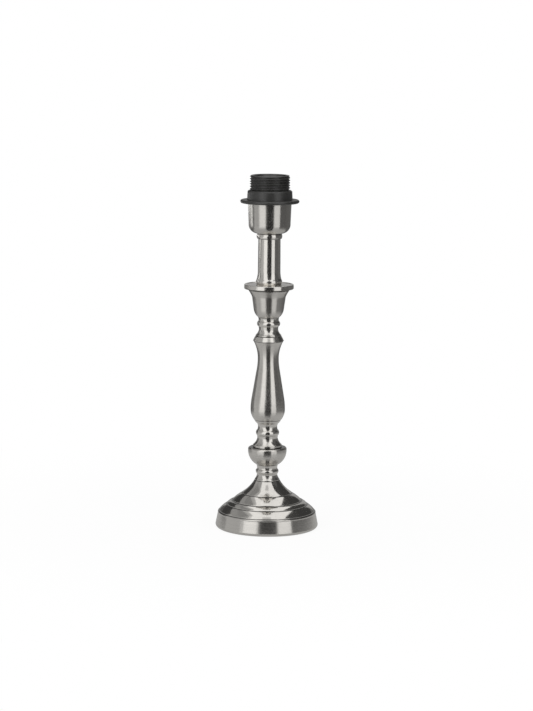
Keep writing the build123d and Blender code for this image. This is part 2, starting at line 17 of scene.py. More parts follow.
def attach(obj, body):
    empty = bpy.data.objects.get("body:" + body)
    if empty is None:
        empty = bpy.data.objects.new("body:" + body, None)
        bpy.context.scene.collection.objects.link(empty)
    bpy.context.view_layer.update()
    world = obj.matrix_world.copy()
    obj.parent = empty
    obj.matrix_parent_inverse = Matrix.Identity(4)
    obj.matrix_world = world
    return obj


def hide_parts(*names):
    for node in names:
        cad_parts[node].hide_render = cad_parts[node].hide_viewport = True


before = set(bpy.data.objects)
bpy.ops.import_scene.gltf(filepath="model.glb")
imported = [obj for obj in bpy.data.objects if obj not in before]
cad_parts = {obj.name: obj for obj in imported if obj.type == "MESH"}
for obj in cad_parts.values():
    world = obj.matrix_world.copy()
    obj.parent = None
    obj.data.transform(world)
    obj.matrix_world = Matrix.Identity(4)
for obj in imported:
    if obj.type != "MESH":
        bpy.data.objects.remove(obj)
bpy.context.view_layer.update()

MM = 0.001
log = logging.getLogger("lamp_base")

Corner = tuple[float, ...]
Corners = tuple[Corner, ...]
Point = tuple[float, float]
Pair = tuple[float, float]
Place = tuple[float, float, float]
Piece = bpy.types.Object
Socket = bpy.types.NodeSocket


class Body(Enum):
    """Bodies of the frame that the new pieces ride on."""

    LAMP = "lamp"
    SHADE_RING = "shade_ring"


class Slot(Enum):
    """Material slots of the record."""

    NICKEL_BRUSHED = "nickel_brushed"
    NICKEL_POLISHED = "nickel_polished"
    BLACK_PLASTIC = "black_plastic"
    INSULATOR = "insulator"
    BRASS = "brass"
    SPRING_BRONZE = "spring_bronze"
    STEEL = "steel"
    IRON = "iron"
    FELT = "felt"


@dataclass(frozen=True)
class Colour:
    """Colour in linear light."""

    red: float
    green: float
    blue: float

    def rgba(self) -> tuple[float, float, float, float]:
        """The colour with full alpha."""
        return (self.red, self.green, self.blue, 1.0)

    def times(self, share: float) -> "Colour":
        """The colour, darker or lighter by a share."""
        return Colour(self.red * share, self.green * share, self.blue * share)


def grey(tone: float) -> Colour:
    """A grey, from 0 for black to 1 for white."""
    return Colour(tone, tone, tone)


class Nodes:
    """Node tree, with short calls to add and join its nodes."""

    def __init__(self, tree: bpy.types.NodeTree) -> None:
        """Empties the tree."""
        self.tree = tree
        self.tree.nodes.clear()

    def node(self, kind: str, **settings: object) -> bpy.types.Node:
        """Adds a node and sets its properties.

        Args:
            kind: The node's type, without the words ShaderNode.
            settings: Properties of the node by name.

        Returns:
            The new node.
        """
        node = self.tree.nodes.new("ShaderNode" + kind)
        for name, value in settings.items():
            setattr(node, name, value)
        return node

    def join(self, source: Socket, target: Socket) -> None:
        """Links an output to an input."""
        self.tree.links.new(source, target)

    def value(self, operation: str, first: Socket | float, second: Socket | float = 0.0) -> Socket:
        """Adds a math node whose inputs are numbers or sockets.

        Args:
            operation: Name of the math node's operation.
            first: Number or socket of the first input.
            second: Number or socket of the second input.

        Returns:
            The result's socket.
        """
        node = self.node("Math", operation=operation)
        for socket, source in zip(node.inputs, (first, second)):
            if isinstance(source, Socket):
                self.join(source, socket)
            else:
                socket.default_value = source
        return node.outputs[0]

    def seen(self) -> Socket:
        """Makes a factor that is 1 for the camera's rays and for reflections, and 0 for light.

        Returns:
            The factor's socket.
        """
        path = self.node("LightPath").outputs
        mirrored = self.value("MAXIMUM", path["Is Glossy Ray"], path["Is Transmission Ray"])
        return self.value("MAXIMUM", path["Is Camera Ray"], mirrored)

    def light(self, kind: str, tone: float = 1.0, strength: float = 1.0) -> Socket:
        """Adds a shader that gives off a grey light.

        Args:
            kind: Emission for a surface, or Background for the world.
            tone: How light its grey is.
            strength: Its strength.

        Returns:
            The shader's socket.
        """
        light = self.node(kind)
        light.inputs["Color"].default_value = grey(tone).rgba()
        light.inputs["Strength"].default_value = strength
        return light.outputs[0]

    def shared(self, factor: Socket, first: Socket, second: Socket) -> Socket:
        """Shares a surface between two shaders.

        Args:
            factor: 0 where the first shader shows and 1 where the second does.
            first: The first shader.
            second: The second shader.

        Returns:
            The result's socket.
        """
        mix = self.node("MixShader")
        for source, socket in zip((factor, first, second), mix.inputs):
            self.join(source, socket)
        return mix.outputs[0]


class Shader(Nodes):
    """Node tree of one material."""

    NOISE_MIDDLE = (0.3, 0.7)

    def __init__(self, name: str) -> None:
        """Starts a material with an empty tree and its output node.

        Args:
            name: Name of the material.
        """
        self.material = bpy.data.materials.new(name)
        self.material.use_nodes = True
        super().__init__(self.material.node_tree)
        self.output = self.node("OutputMaterial").inputs["Surface"]

    def place(self) -> Socket:
        """The place on the object, in metres."""
        return self.node("TexCoord").outputs["Object"]

    def split(self, vector: Socket) -> list[Socket]:
        """Splits a vector into its three parts.

        Args:
            vector: The vector.

        Returns:
            The sockets of X, Y and Z.
        """
        node = self.node("SeparateXYZ")
        self.join(vector, node.inputs[0])
        return list(node.outputs)

    def vector(self, *parts: Socket) -> Socket:
        """Makes a vector of its parts, with 0 for a part that isn't given.

        Args:
            parts: The sockets of X, Y and Z.

        Returns:
            The vector's socket.
        """
        node = self.node("CombineXYZ")
        for part, socket in zip(parts, node.inputs):
            self.join(part, socket)
        return node.outputs[0]

    def vector_math(self, operation: str, vector: Socket) -> bpy.types.Node:
        """Adds a vector math node.

        Args:
            operation: Name of its operation.
            vector: Its first vector.

        Returns:
            The new node.
        """
        node = self.node("VectorMath", operation=operation)
        self.join(vector, node.inputs[0])
        return node

    def noise(self, vector: Socket, scale: float, detail: float = 2.0) -> Socket:
        """Adds a noise texture.

        Args:
            vector: Coordinates that it is read at.
            scale: Repeats per metre.
            detail: Octaves.

        Returns:
            The socket of the noise's value.
        """
        noise = self.node("TexNoise")
        noise.inputs["Scale"].default_value = scale
        noise.inputs["Detail"].default_value = detail
        self.join(vector, noise.inputs["Vector"])
        return noise.outputs["Fac"]

    def blend(self, first: Socket, second: Socket, share: float) -> Socket:
        """Adds two patterns up.

        Args:
            first: The first pattern.
            second: The second pattern.
            share: Share of the first, with the rest for the second.

        Returns:
            The socket of the sum.
        """
        rest = self.value("MULTIPLY", second, 1.0 - share)
        return self.value("ADD", self.value("MULTIPLY", first, share), rest)

    def mapped(self, source: Socket, limits: Pair, results: Pair, curve: str = "LINEAR") -> Socket:
        """Maps a value from one range to another and holds it at both ends.

        Args:
            source: The value.
            limits: Values where the first and last result are reached.
            results: The first and last result.
            curve: How the results run between them.

        Returns:
            The result's socket.
        """
        node = self.node("MapRange", interpolation_type=curve)
        self.join(source, node.inputs["Value"])
        for name, number in zip(("From Min", "From Max", "To Min", "To Max"), limits + results):
            node.inputs[name].default_value = number
        return node.outputs["Result"]

    def ranged(self, noise: Socket, low: float, high: float) -> Socket:
        """Spreads the middle of a noise over a range."""
        return self.mapped(noise, self.NOISE_MIDDLE, (low, high))

    def mottled(self, noise: Socket, dark: Colour, light: Colour) -> Socket:
        """Mixes two colours by a noise.

        Args:
            noise: The noise's value.
            dark: Colour where it is low.
            light: Colour where it is high.

        Returns:
            The colour's socket.
        """
        mix = self.node("Mix", data_type="RGBA")
        self.join(self.ranged(noise, 0.0, 1.0), mix.inputs["Factor"])
        colours = [socket for socket in mix.inputs if socket.type == "RGBA"]
        for socket, colour in zip(colours, (dark, light)):
            socket.default_value = colour.rgba()
        return next(socket for socket in mix.outputs if socket.type == "RGBA")

    def roughen(
        self, surface: bpy.types.Node, noise: Socket, roughness: float, wander: Pair
    ) -> None:
        """Lets a surface's roughness fall and rise about its middle with a noise."""
        rough = self.ranged(noise, roughness + wander[0], roughness + wander[1])
        self.join(rough, surface.inputs["Roughness"])

    def bump(self, height: Socket, depth: float, surface: bpy.types.Node) -> None:
        """Presses a pattern into a surface.

        Args:
            height: The pattern, from 0 to 1.
            depth: Its real depth in millimetres.
            surface: The shader node that takes the normal.
        """
        bump = self.node("Bump")
        bump.inputs["Strength"].default_value = 1.0
        bump.inputs["Distance"].default_value = depth * MM
        self.join(height, bump.inputs["Height"])
        self.join(bump.outputs["Normal"], surface.inputs["Normal"])

    def surface(self, **inputs: float) -> bpy.types.Node:
        """Adds the surface shader with its constant values.

        Args:
            inputs: Values by input name, with _ for a space.

        Returns:
            The shader node, joined to the output.
        """
        shader = self.node("BsdfPrincipled")
        for name, value in inputs.items():
            shader.inputs[name.replace("_", " ")].default_value = value
        self.join(shader.outputs[0], self.output)
        return shader


# Heights in millimetres where two pieces meet, darkened as dark joints with painted shade in them,
# and 241.9 to 243.1 a painted shadow under the drip pan's rim.
JOINT_AND_SHADE_LINES = (48.5, 64.5, 82.3, 110.0, 190.0, 195.25, 214.0, 241.9, 242.5, 243.1, 293.0, 298.2)
# Heights in millimetres of the corners of the foot's steps, darkened as painted shade under each
# step's lip.
STEP_CORNER_SHADE_LINES = (17.1, 23.75, 27.6, 35.1)


@dataclass(frozen=True)
class Finish:
    """Finish of a piece or a solid.

    Attributes:
        name: Name of the material.
        colour: Its colour.
    """

    name: str
    colour: Colour

    def make(self) -> bpy.types.Material:
        """Builds the material, each kind of finish in its own way."""
        raise NotImplementedError


@dataclass(frozen=True)
class TurnedMetal(Finish):
    """Metal finished on a lathe, with fine lines around the axis.

    Attributes:
        roughness: Middle roughness.
        stretch: Anisotropy across the lines.
        spread: How far the roughness wanders to each side.
        line_depth: Depth of the lines in millimetres.
        line_tone: Share by which the lines darken the colour.
        line_slant: Share of the radius that counts as height, so that level faces have lines too.
        line_wander: How far the lines' pattern shifts around the axis, in metres.
        polished_from: Height in millimetres above which the metal is smoother, or 0 for nowhere.
        polished_share: Share of the roughness that is left there.
        joints: Heights in millimetres of dark lines: joints with dark polish left in them and
            painted shade, and painted shade at the foot's step corners and under the drip pan.
        dark_line_edges: Distances in millimetres at which a dark line starts to fade and is gone.
        dark_line_tone: Share of the colour that shows through a dark line.
    """

    roughness: float
    stretch: float
    spread: float = 0.03
    line_depth: float = 0.01
    line_tone: float = 0.16
    line_slant: float = 0.83
    line_wander: float = 0.0016
    polished_from: float = 0.0
    polished_share: float = 0.62
    joints: tuple[float, ...] = JOINT_AND_SHADE_LINES
    dark_line_edges: Pair = (0.119, 0.459)
    dark_line_tone: float = 0.22

    def around(self, shader: Shader) -> Socket:
        """Finds coordinates that hardly change around the axis, so that a noise turns into rings.

        Args:
            shader: The material's tree.

        Returns:
            The coordinates' socket.
        """
        x, y, height = shader.split(shader.place())
        flat = shader.vector(x, y)
        radius = shader.vector_math("LENGTH", flat).outputs["Value"]
        outwards = shader.split(shader.vector_math("NORMALIZE", flat).outputs["Vector"])
        along = shader.value("ADD", height, shader.value("MULTIPLY", radius, self.line_slant))
        shifts = [shader.value("MULTIPLY", part, self.line_wander) for part in outwards[:2]]
        return shader.vector(*shifts, along)

    def grime_and_shade_share(self, shader: Shader, height: Socket) -> Socket:
        """Finds the share of colour that is left, 1 away from the dark lines and low in them,
        where joint grime and painted shade darken the metal.

        Args:
            shader: The material's tree.
            height: Height of the place in metres.

        Returns:
            The share's socket.
        """
        offsets = [shader.value("SUBTRACT", height, line_height * MM) for line_height in self.joints]
        nearest, *others = [shader.value("ABSOLUTE", offset) for offset in offsets]
        for distance in others:
            nearest = shader.value("MINIMUM", nearest, distance)
        limits = (self.dark_line_edges[0] * MM, self.dark_line_edges[1] * MM)
        return shader.mapped(nearest, limits, (self.dark_line_tone, 1.0), "SMOOTHSTEP")

    def make(self) -> bpy.types.Material:
        """Builds the material: fine lines, patches of wear, dark lines of joint grime and painted
        shade, and a highlight drawn out across the fine lines.

        Returns:
            The material.
        """
        shader = Shader(self.name)
        place = shader.place()
        height = shader.split(place)[2]
        around = self.around(shader)
        fine = shader.noise(around, scale=5200.0, detail=3.0)
        broad = shader.noise(around, scale=900.0)
        patches = shader.noise(place, scale=38.0, detail=3.0)
        metal = shader.surface(Metallic=1.0, Anisotropic=self.stretch, Anisotropic_Rotation=0.25)
        tangent = shader.node("Tangent", direction_type="RADIAL", axis="Z")
        shader.join(tangent.outputs[0], metal.inputs["Tangent"])
        lines = shader.blend(fine, broad, share=0.6)
        lined = shader.mottled(lines, self.colour.times(1.0 - self.line_tone), self.colour)
        # Painted shade: the colour is darkened along the dark lines, at the joints, the step
        # corners and under the drip pan.
        grimed_and_shaded = shader.vector_math("SCALE", lined)
        shader.join(self.grime_and_shade_share(shader, height), grimed_and_shaded.inputs["Scale"])
        shader.join(grimed_and_shaded.outputs[0], metal.inputs["Base Color"])
        wear = shader.blend(patches, broad, share=0.7)
        rough = shader.ranged(wear, self.roughness - self.spread, self.roughness + self.spread)
        if self.polished_from:
            above = shader.value("GREATER_THAN", height, self.polished_from * MM)
            polish = shader.value("MULTIPLY", above, 1.0 - self.polished_share)
            rough = shader.value("MULTIPLY", rough, shader.value("SUBTRACT", 1.0, polish))
        shader.join(rough, metal.inputs["Roughness"])
        shader.bump(lines, self.line_depth, metal)
        return shader.material


@dataclass(frozen=True)
class PlainMetal(Finish):
    """Metal as stamped, cut or cast, with grain but no turned lines.

    Attributes:
        roughness: Middle roughness.
        grain: Repeats of the grain per metre.
        grain_depth: Depth of the grain in millimetres.
        metallic: Share of uncoated metal, less where it is painted.
        wander: How far the roughness falls and rises with the grain.
        patch_size: Size of a patch of tarnish in grains.
        tarnish: Share of the colour that is left where it is tarnished.
    """

    roughness: float
    grain: float
    grain_depth: float = 0.006
    metallic: float = 1.0
    wander: Pair = (-0.06, 0.08)
    patch_size: float = 9.0
    tarnish: float = 0.82

    def make(self) -> bpy.types.Material:
        """Builds the material: grain, a tarnish that varies and bump from the grain.

        Returns:
            The material.
        """
        shader = Shader(self.name)
        place = shader.place()
        grain = shader.noise(place, self.grain, detail=4.0)
        patches = shader.noise(place, self.grain / self.patch_size)
        metal = shader.surface(Metallic=self.metallic)
        colour = shader.mottled(patches, self.colour.times(self.tarnish), self.colour)
        shader.join(colour, metal.inputs["Base Color"])
        shader.roughen(metal, grain, self.roughness, self.wander)
        shader.bump(grain, self.grain_depth, metal)
        return shader.material


@dataclass(frozen=True)
class MouldedPlastic(Finish):
    """Moulded plastic with a fine eroded skin.

    Attributes:
        roughness: Middle roughness.
        skin_depth: Depth of the skin's grain in millimetres.
        gloss: Specular level of the skin, 0.5 as on plain plastic.
        wander: How far the roughness falls and rises with the flow marks.
        flow_tones: Shares of the colour where the flow marks are dark and light.
    """

    roughness: float
    skin_depth: float
    gloss: float = 0.5
    wander: Pair = (-0.04, 0.05)
    flow_tones: Pair = (0.85, 1.1)

    def make(self) -> bpy.types.Material:
        """Builds the material: fine skin, slight flow marks and a satin gloss.

        Returns:
            The material.
        """
        shader = Shader(self.name)
        place = shader.place()
        skin = shader.noise(place, scale=3600.0)
        flow = shader.noise(place, scale=120.0, detail=3.0)
        plastic = shader.surface(IOR=1.5, Specular_IOR_Level=self.gloss)
        dark, light = map(self.colour.times, self.flow_tones)
        shader.join(shader.mottled(flow, dark, light), plastic.inputs["Base Color"])
        shader.roughen(plastic, flow, self.roughness, self.wander)
        shader.bump(skin, self.skin_depth, plastic)
        return shader.material


@dataclass(frozen=True)
class Felt(Finish):
    """Pressed felt with short fibres.

    Attributes:
        fibre_tones: Shares of the colour between the fibres and on them.
        pile_depth: Depth of the fibres in millimetres.
    """

    fibre_tones: Pair = (0.6, 1.5)
    pile_depth: float = 0.25

    def make(self) -> bpy.types.Material:
        """Builds the material: tangled fibres over soft clumps, with sheen.

        Returns:
            The material.
        """
        shader = Shader(self.name)
        place = shader.place()
        fibres = shader.noise(place, scale=2600.0, detail=5.0)
        clumps = shader.noise(place, scale=240.0)
        felt = shader.surface(Roughness=0.95, Sheen_Weight=0.5, Sheen_Roughness=0.5)
        dark, light = map(self.colour.times, self.fibre_tones)
        shader.join(shader.mottled(fibres, dark, light), felt.inputs["Base Color"])
        shader.bump(shader.blend(fibres, clumps, share=0.7), self.pile_depth, felt)
        return shader.material


NICKEL = Colour(0.665, 0.645, 0.61)
BLACK = Colour(0.02, 0.0195, 0.0185)
# The foot's metal adds its step corners to the dark lines, as painted shade.
FOOT_METAL = TurnedMetal(
    "nickel_foot", NICKEL.times(1.2), roughness=0.2, stretch=0.75, line_depth=0.008,
    polished_from=15.4, joints=JOINT_AND_SHADE_LINES + STEP_CORNER_SHADE_LINES,
)
BELL_METAL = TurnedMetal("nickel_bell", NICKEL.times(1.22), roughness=0.3, stretch=0.95)
CUP_METAL = TurnedMetal(
    "nickel_cup", NICKEL.times(1.1), roughness=0.23, stretch=0.92, line_depth=0.008, line_tone=0.14
)
SKIRT_PLASTIC = MouldedPlastic("skirt_plastic", BLACK, roughness=0.33, skin_depth=0.003, gloss=1.0)
RING_PLASTIC = MouldedPlastic(
    "ring_plastic", BLACK.times(1.15), roughness=0.36, skin_depth=0.005, gloss=0.85
)
SLOT_FINISHES: dict[Slot, Finish] = {
    Slot.NICKEL_BRUSHED: TurnedMetal(
        "nickel_brushed", NICKEL.times(1.25), roughness=0.24, stretch=0.9
    ),
    Slot.NICKEL_POLISHED: TurnedMetal(
        "nickel_polished", NICKEL.times(1.28), roughness=0.19, stretch=0.88, spread=0.02,
        line_depth=0.004, line_tone=0.1,
    ),
    Slot.BLACK_PLASTIC: MouldedPlastic(
        "black_plastic", BLACK, roughness=0.3, skin_depth=0.006, gloss=1.0
    ),
    Slot.INSULATOR: MouldedPlastic(
        "insulator", Colour(0.72, 0.69, 0.61), roughness=0.55, skin_depth=0.02
    ),
    Slot.BRASS: PlainMetal("brass", Colour(0.78, 0.58, 0.27), roughness=0.26, grain=1500.0),
    Slot.SPRING_BRONZE: PlainMetal(
        "spring_bronze", Colour(0.70, 0.45, 0.25), roughness=0.30, grain=1300.0
    ),
    Slot.STEEL: PlainMetal(
        "steel", Colour(0.56, 0.56, 0.57), roughness=0.34, grain=1400.0, grain_depth=0.008
    ),
    Slot.IRON: PlainMetal(
        "iron", Colour(0.06, 0.06, 0.062), roughness=0.72, grain=700.0, grain_depth=0.12,
        metallic=0.4,
    ),
    Slot.FELT: Felt("felt", Colour(0.02, 0.024, 0.021)),
}


@dataclass(frozen=True)
class Thread:
    """Screw thread pressed into the wall of a turned piece, in millimetres.

    Attributes:
        pitch: Height of one turn.
        depth: How far the wall moves at a root, outwards if positive.
        low: Height where the thread starts.
        high: Height where it ends.
        nearest: Smallest radius of the walls that follow the thread.
        farthest: Largest radius of the walls that follow it.
        runout: Height over which the thread fades at each end.
        flat: Share of the pitch that is flat at crest and root.
    """

    pitch: float
    depth: float
    low: float
    high: float
    nearest: float
    farthest: float
    runout: float = 1.2
    flat: float = 0.2

    def offset(self, height: float, angle: float) -> float:
        """Finds how far the wall moves at a place.

        Args:
            height: Height in millimetres.
            angle: Angle about the axis in radians.

        Returns:
            The move along the radius in millimetres.
        """
        turn = (height - self.low) / self.pitch - angle / (2 * math.pi)
        fall = 1.0 - abs(2.0 * (turn - math.floor(turn)) - 1.0)
        share = min(1.0, max(0.0, (fall - self.flat) / (1.0 - 2.0 * self.flat)))
        eased = share * share * (3.0 - 2.0 * share)
        end = min(height - self.low, self.high - height)
        return self.depth * eased * min(1.0, max(0.0, end / self.runout))

    def press_into(self, piece: Piece) -> None:
        """Moves the wall's points of a turned piece along the thread.

        Args:
            piece: The piece.
        """
        for vertex in piece.data.vertices:
            radius = math.hypot(vertex.co.x, vertex.co.y)
            height = vertex.co.z / MM
            if self.low < height < self.high and self.nearest <= radius / MM <= self.farthest:
                grown = radius + MM * self.offset(height, math.atan2(vertex.co.y, vertex.co.x))
                vertex.co.x *= grown / radius
                vertex.co.y *= grown / radius
        piece.data.update()


@dataclass(frozen=True)
class Profile:
    """Closed half section of a turned piece, in millimetres.

    Attributes:
        corners: (radius, height) of each corner, or (radius, height, bulge) if an arc reaches it.
            A positive bulge lies on the right of the way there, which is outwards on the way up.
        rounding: How far each sharp corner is cut back and rounded.
        chord: Longest chord of an arc.
        rows: Longest step of a straight run, if a thread needs rows.
        blunt: Angle in degrees from which a corner isn't rounded.
        side_share: Largest share of a side that a rounding takes.
    """

    ARC_STEPS = 4
    ROUND_PLACES = (0.0, 0.33, 0.67, 1.0)

    corners: Corners
    rounding: float = 0.22
    chord: float = 0.5
    rows: float = 0.0
    blunt: float = 162.0
    side_share: float = 0.42

    def run(self, start: Corner, end: Corner) -> list[Point]:
        """Draws the way from one corner to the next.

        Args:
            start: Corner that the run leaves.
            end: Corner that it reaches.

        Returns:
            The points of the straight run or arc, without the first.
        """
        span = Vector((end[0] - start[0], end[1] - start[1]))
        if len(end) < 3:
            count = max(1, math.ceil(span.length / self.rows)) if self.rows else 1
            return [
                (start[0] + span.x * i / count, start[1] + span.y * i / count)
                for i in range(1, count + 1)
            ]
        bulge = end[2]
        right = Vector((span.y, -span.x)).normalized()
        turn = 4.0 * math.atan(2.0 * bulge / span.length)
        radius = span.length / (2.0 * abs(math.sin(turn / 2.0)))
        centre = Vector(start[:2]) + span / 2.0 + right * (bulge - math.copysign(radius, bulge))
        count = max(self.ARC_STEPS, math.ceil(radius * abs(turn) / self.chord))
        arm = Vector(start[:2]) - centre
        turned_arms = [Matrix.Rotation(turn * i / count, 2) @ arm for i in range(1, count + 1)]
        return [(centre.x + turned.x, centre.y + turned.y) for turned in turned_arms]

    def rounded(self, before: Point, corner: Point, after: Point) -> list[Point]:
        """Rounds a corner, unless it is blunt.

        Args:
            before: Point before the corner.
            corner: The corner.
            after: Point after it.

        Returns:
            The points that take the corner's place.
        """
        here = Vector(corner)
        back = Vector(before) - here
        ahead = Vector(after) - here
        if back.angle(ahead) > math.radians(self.blunt):
            return [corner]
        first = here + back.normalized() * min(self.rounding, self.side_share * back.length)
        last = here + ahead.normalized() * min(self.rounding, self.side_share * ahead.length)
        places = [
            first * (1 - share) ** 2 + here * (2 * share * (1 - share)) + last * share**2
            for share in self.ROUND_PLACES
        ]
        return [(place.x, place.y) for place in places]

    def points(self) -> list[Point]:
        """Draws the whole outline.

        Returns:
            Its points in order, with the sharp corners rounded.
        """
        path: list[Point] = []
        sharp: list[bool] = []
        for start, end in zip(self.corners[-1:] + self.corners[:-1], self.corners):
            run = self.run(start, end)
            path += run
            sharp += [False] * (len(run) - 1) + [True]
        outline: list[Point] = []
        for i, point in enumerate(path):
            following = path[(i + 1) % len(path)]
            outline += self.rounded(path[i - 1], point, following) if sharp[i] else [point]
        return outline


# Radius in millimetres of the bore for the threaded tube.
BORE = 5.1
LATHE_STEPS = 144
# Distance in metres up to which two points are one.
MERGE_DISTANCE = 1e-6


def bored(*corners: Corner) -> Corners:
    """Closes a half section on the tube's bore, level with its first and last corner."""
    return ((BORE, corners[0][1]), *corners, (BORE, corners[-1][1]))


def select_none() -> None:
    """Leaves nothing selected."""
    for other in bpy.context.selected_objects:
        other.select_set(False)
    bpy.context.view_layer.objects.active = None


def start_point(name: str, place: Place | Vector) -> Piece:
    """Starts a mesh as one point, selected in edit mode.

    Args:
        name: Name of the piece.
        place: Place of the point in metres.

    Returns:
        The piece.
    """
    select_none()
    bpy.ops.mesh.primitive_plane_add(size=MM, location=place)
    piece = bpy.context.object
    piece.name = name
    piece.data.name = name
    bpy.ops.object.mode_set(mode="EDIT")
    bpy.ops.mesh.select_all(action="SELECT")
    bpy.ops.mesh.merge(type="CENTER")
    return piece


def extrude(move: Place | Vector) -> None:
    """Draws out what is selected along a move in metres."""
    bpy.ops.mesh.extrude_region_move(TRANSFORM_OT_translate={"value": move})


def turn_on_lathe(name: str, profile: Profile, steps: int) -> Piece:
    """Draws a half section point by point and spins it about the lamp's axis.

    Args:
        name: Name of the piece.
        profile: Its closed half section.
        steps: Divisions of the full turn.

    Returns:
        The piece, with its normals outwards.
    """
    points = profile.points()
    piece = start_point(name, (points[0][0] * MM, 0.0, points[0][1] * MM))
    for before, after in zip(points, points[1:]):
        extrude(((after[0] - before[0]) * MM, 0.0, (after[1] - before[1]) * MM))
    bpy.ops.mesh.select_all(action="SELECT")
    bpy.ops.mesh.edge_face_add()
    bpy.ops.mesh.delete(type="ONLY_FACE")
    bpy.ops.mesh.select_all(action="SELECT")
    bpy.ops.mesh.spin(steps=steps, angle=2 * math.pi, center=(0, 0, 0), axis=(0, 0, 1))
    bpy.ops.mesh.select_all(action="SELECT")
    bpy.ops.mesh.remove_doubles(threshold=MERGE_DISTANCE)
    bpy.ops.mesh.normals_make_consistent(inside=False)
    bpy.ops.object.mode_set(mode="OBJECT")
    bpy.ops.object.transform_apply(location=True, rotation=True, scale=True)
    return piece


def smooth(piece: Piece) -> None:
    """Shades a piece smooth, with the large faces keeping their flatness.

    Args:
        piece: The piece.
    """
    select_none()
    piece.select_set(True)
    bpy.context.view_layer.objects.active = piece
    bpy.ops.object.shade_smooth()
    weighted = piece.modifiers.new("even_normals", "WEIGHTED_NORMAL")
    weighted.keep_sharp = True
    bpy.ops.object.modifier_apply(modifier=weighted.name)


class Dresser:
    """Gives pieces and solids their finishes, and puts the pieces on their bodies."""

    def __init__(self) -> None:
        """Builds the material of every slot."""
        self.materials = {slot: finish.make() for slot, finish in SLOT_FINISHES.items()}

    def piece(
        self,
        piece: Piece,
        slot: Slot,
        replaced: tuple[str, ...],
        body: Body = Body.LAMP,
        finish: Finish | None = None,
    ) -> None:
        """Finishes a new piece.

        Args:
            piece: The piece, in place.
            slot: Slot of its finish.
            replaced: Solids that it stands for.
            body: Body that it rides on.
            finish: Finish of its own, where the slot's finish isn't fine enough.
        """
        piece.data.materials.clear()
        piece.data.materials.append(finish.make() if finish else self.materials[slot])
        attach(piece, body.value)
        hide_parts(*replaced)
        faces = len(piece.data.polygons)
        log.info("%s: %d faces, %s, rides on %s", piece.name, faces, slot.value, body.value)

    def solids(self, **slots: Slot) -> None:
        """Gives the solids that stay their finishes.

        Args:
            slots: Slot of each solid's finish, by the solid's name.
        """
        for node, slot in slots.items():
            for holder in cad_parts[node].material_slots:
                holder.material = self.materials[slot]
            log.info("%s: kept, %s", node, slot.value)


@dataclass(frozen=True)
class TurnedPiece:
    """Piece that comes off the lathe.

    Attributes:
        name: Its name.
        node: Solid that it stands for.
        profile: Its closed half section.
        slot: Slot of its finish.
        finish: Finish of its own, where the slot's finish isn't fine enough.
        thread: Screw thread in its wall, if it has one.
        steps: Divisions of its full turn.
        body: Body that it rides on.
    """

    name: str
    node: str
    profile: Profile
    slot: Slot
    finish: Finish | None = None
    thread: Thread | None = None
    steps: int = LATHE_STEPS
    body: Body = Body.LAMP

    def build(self, dresser: Dresser) -> None:
        """Turns the piece, cuts its thread and dresses it.

        Args:
            dresser: What gives it its finish.
        """
        piece = turn_on_lathe(self.name, self.profile, self.steps)
        if self.thread:
            self.thread.press_into(piece)
        smooth(piece)
        dresser.piece(piece, self.slot, (self.node,), self.body, self.finish)


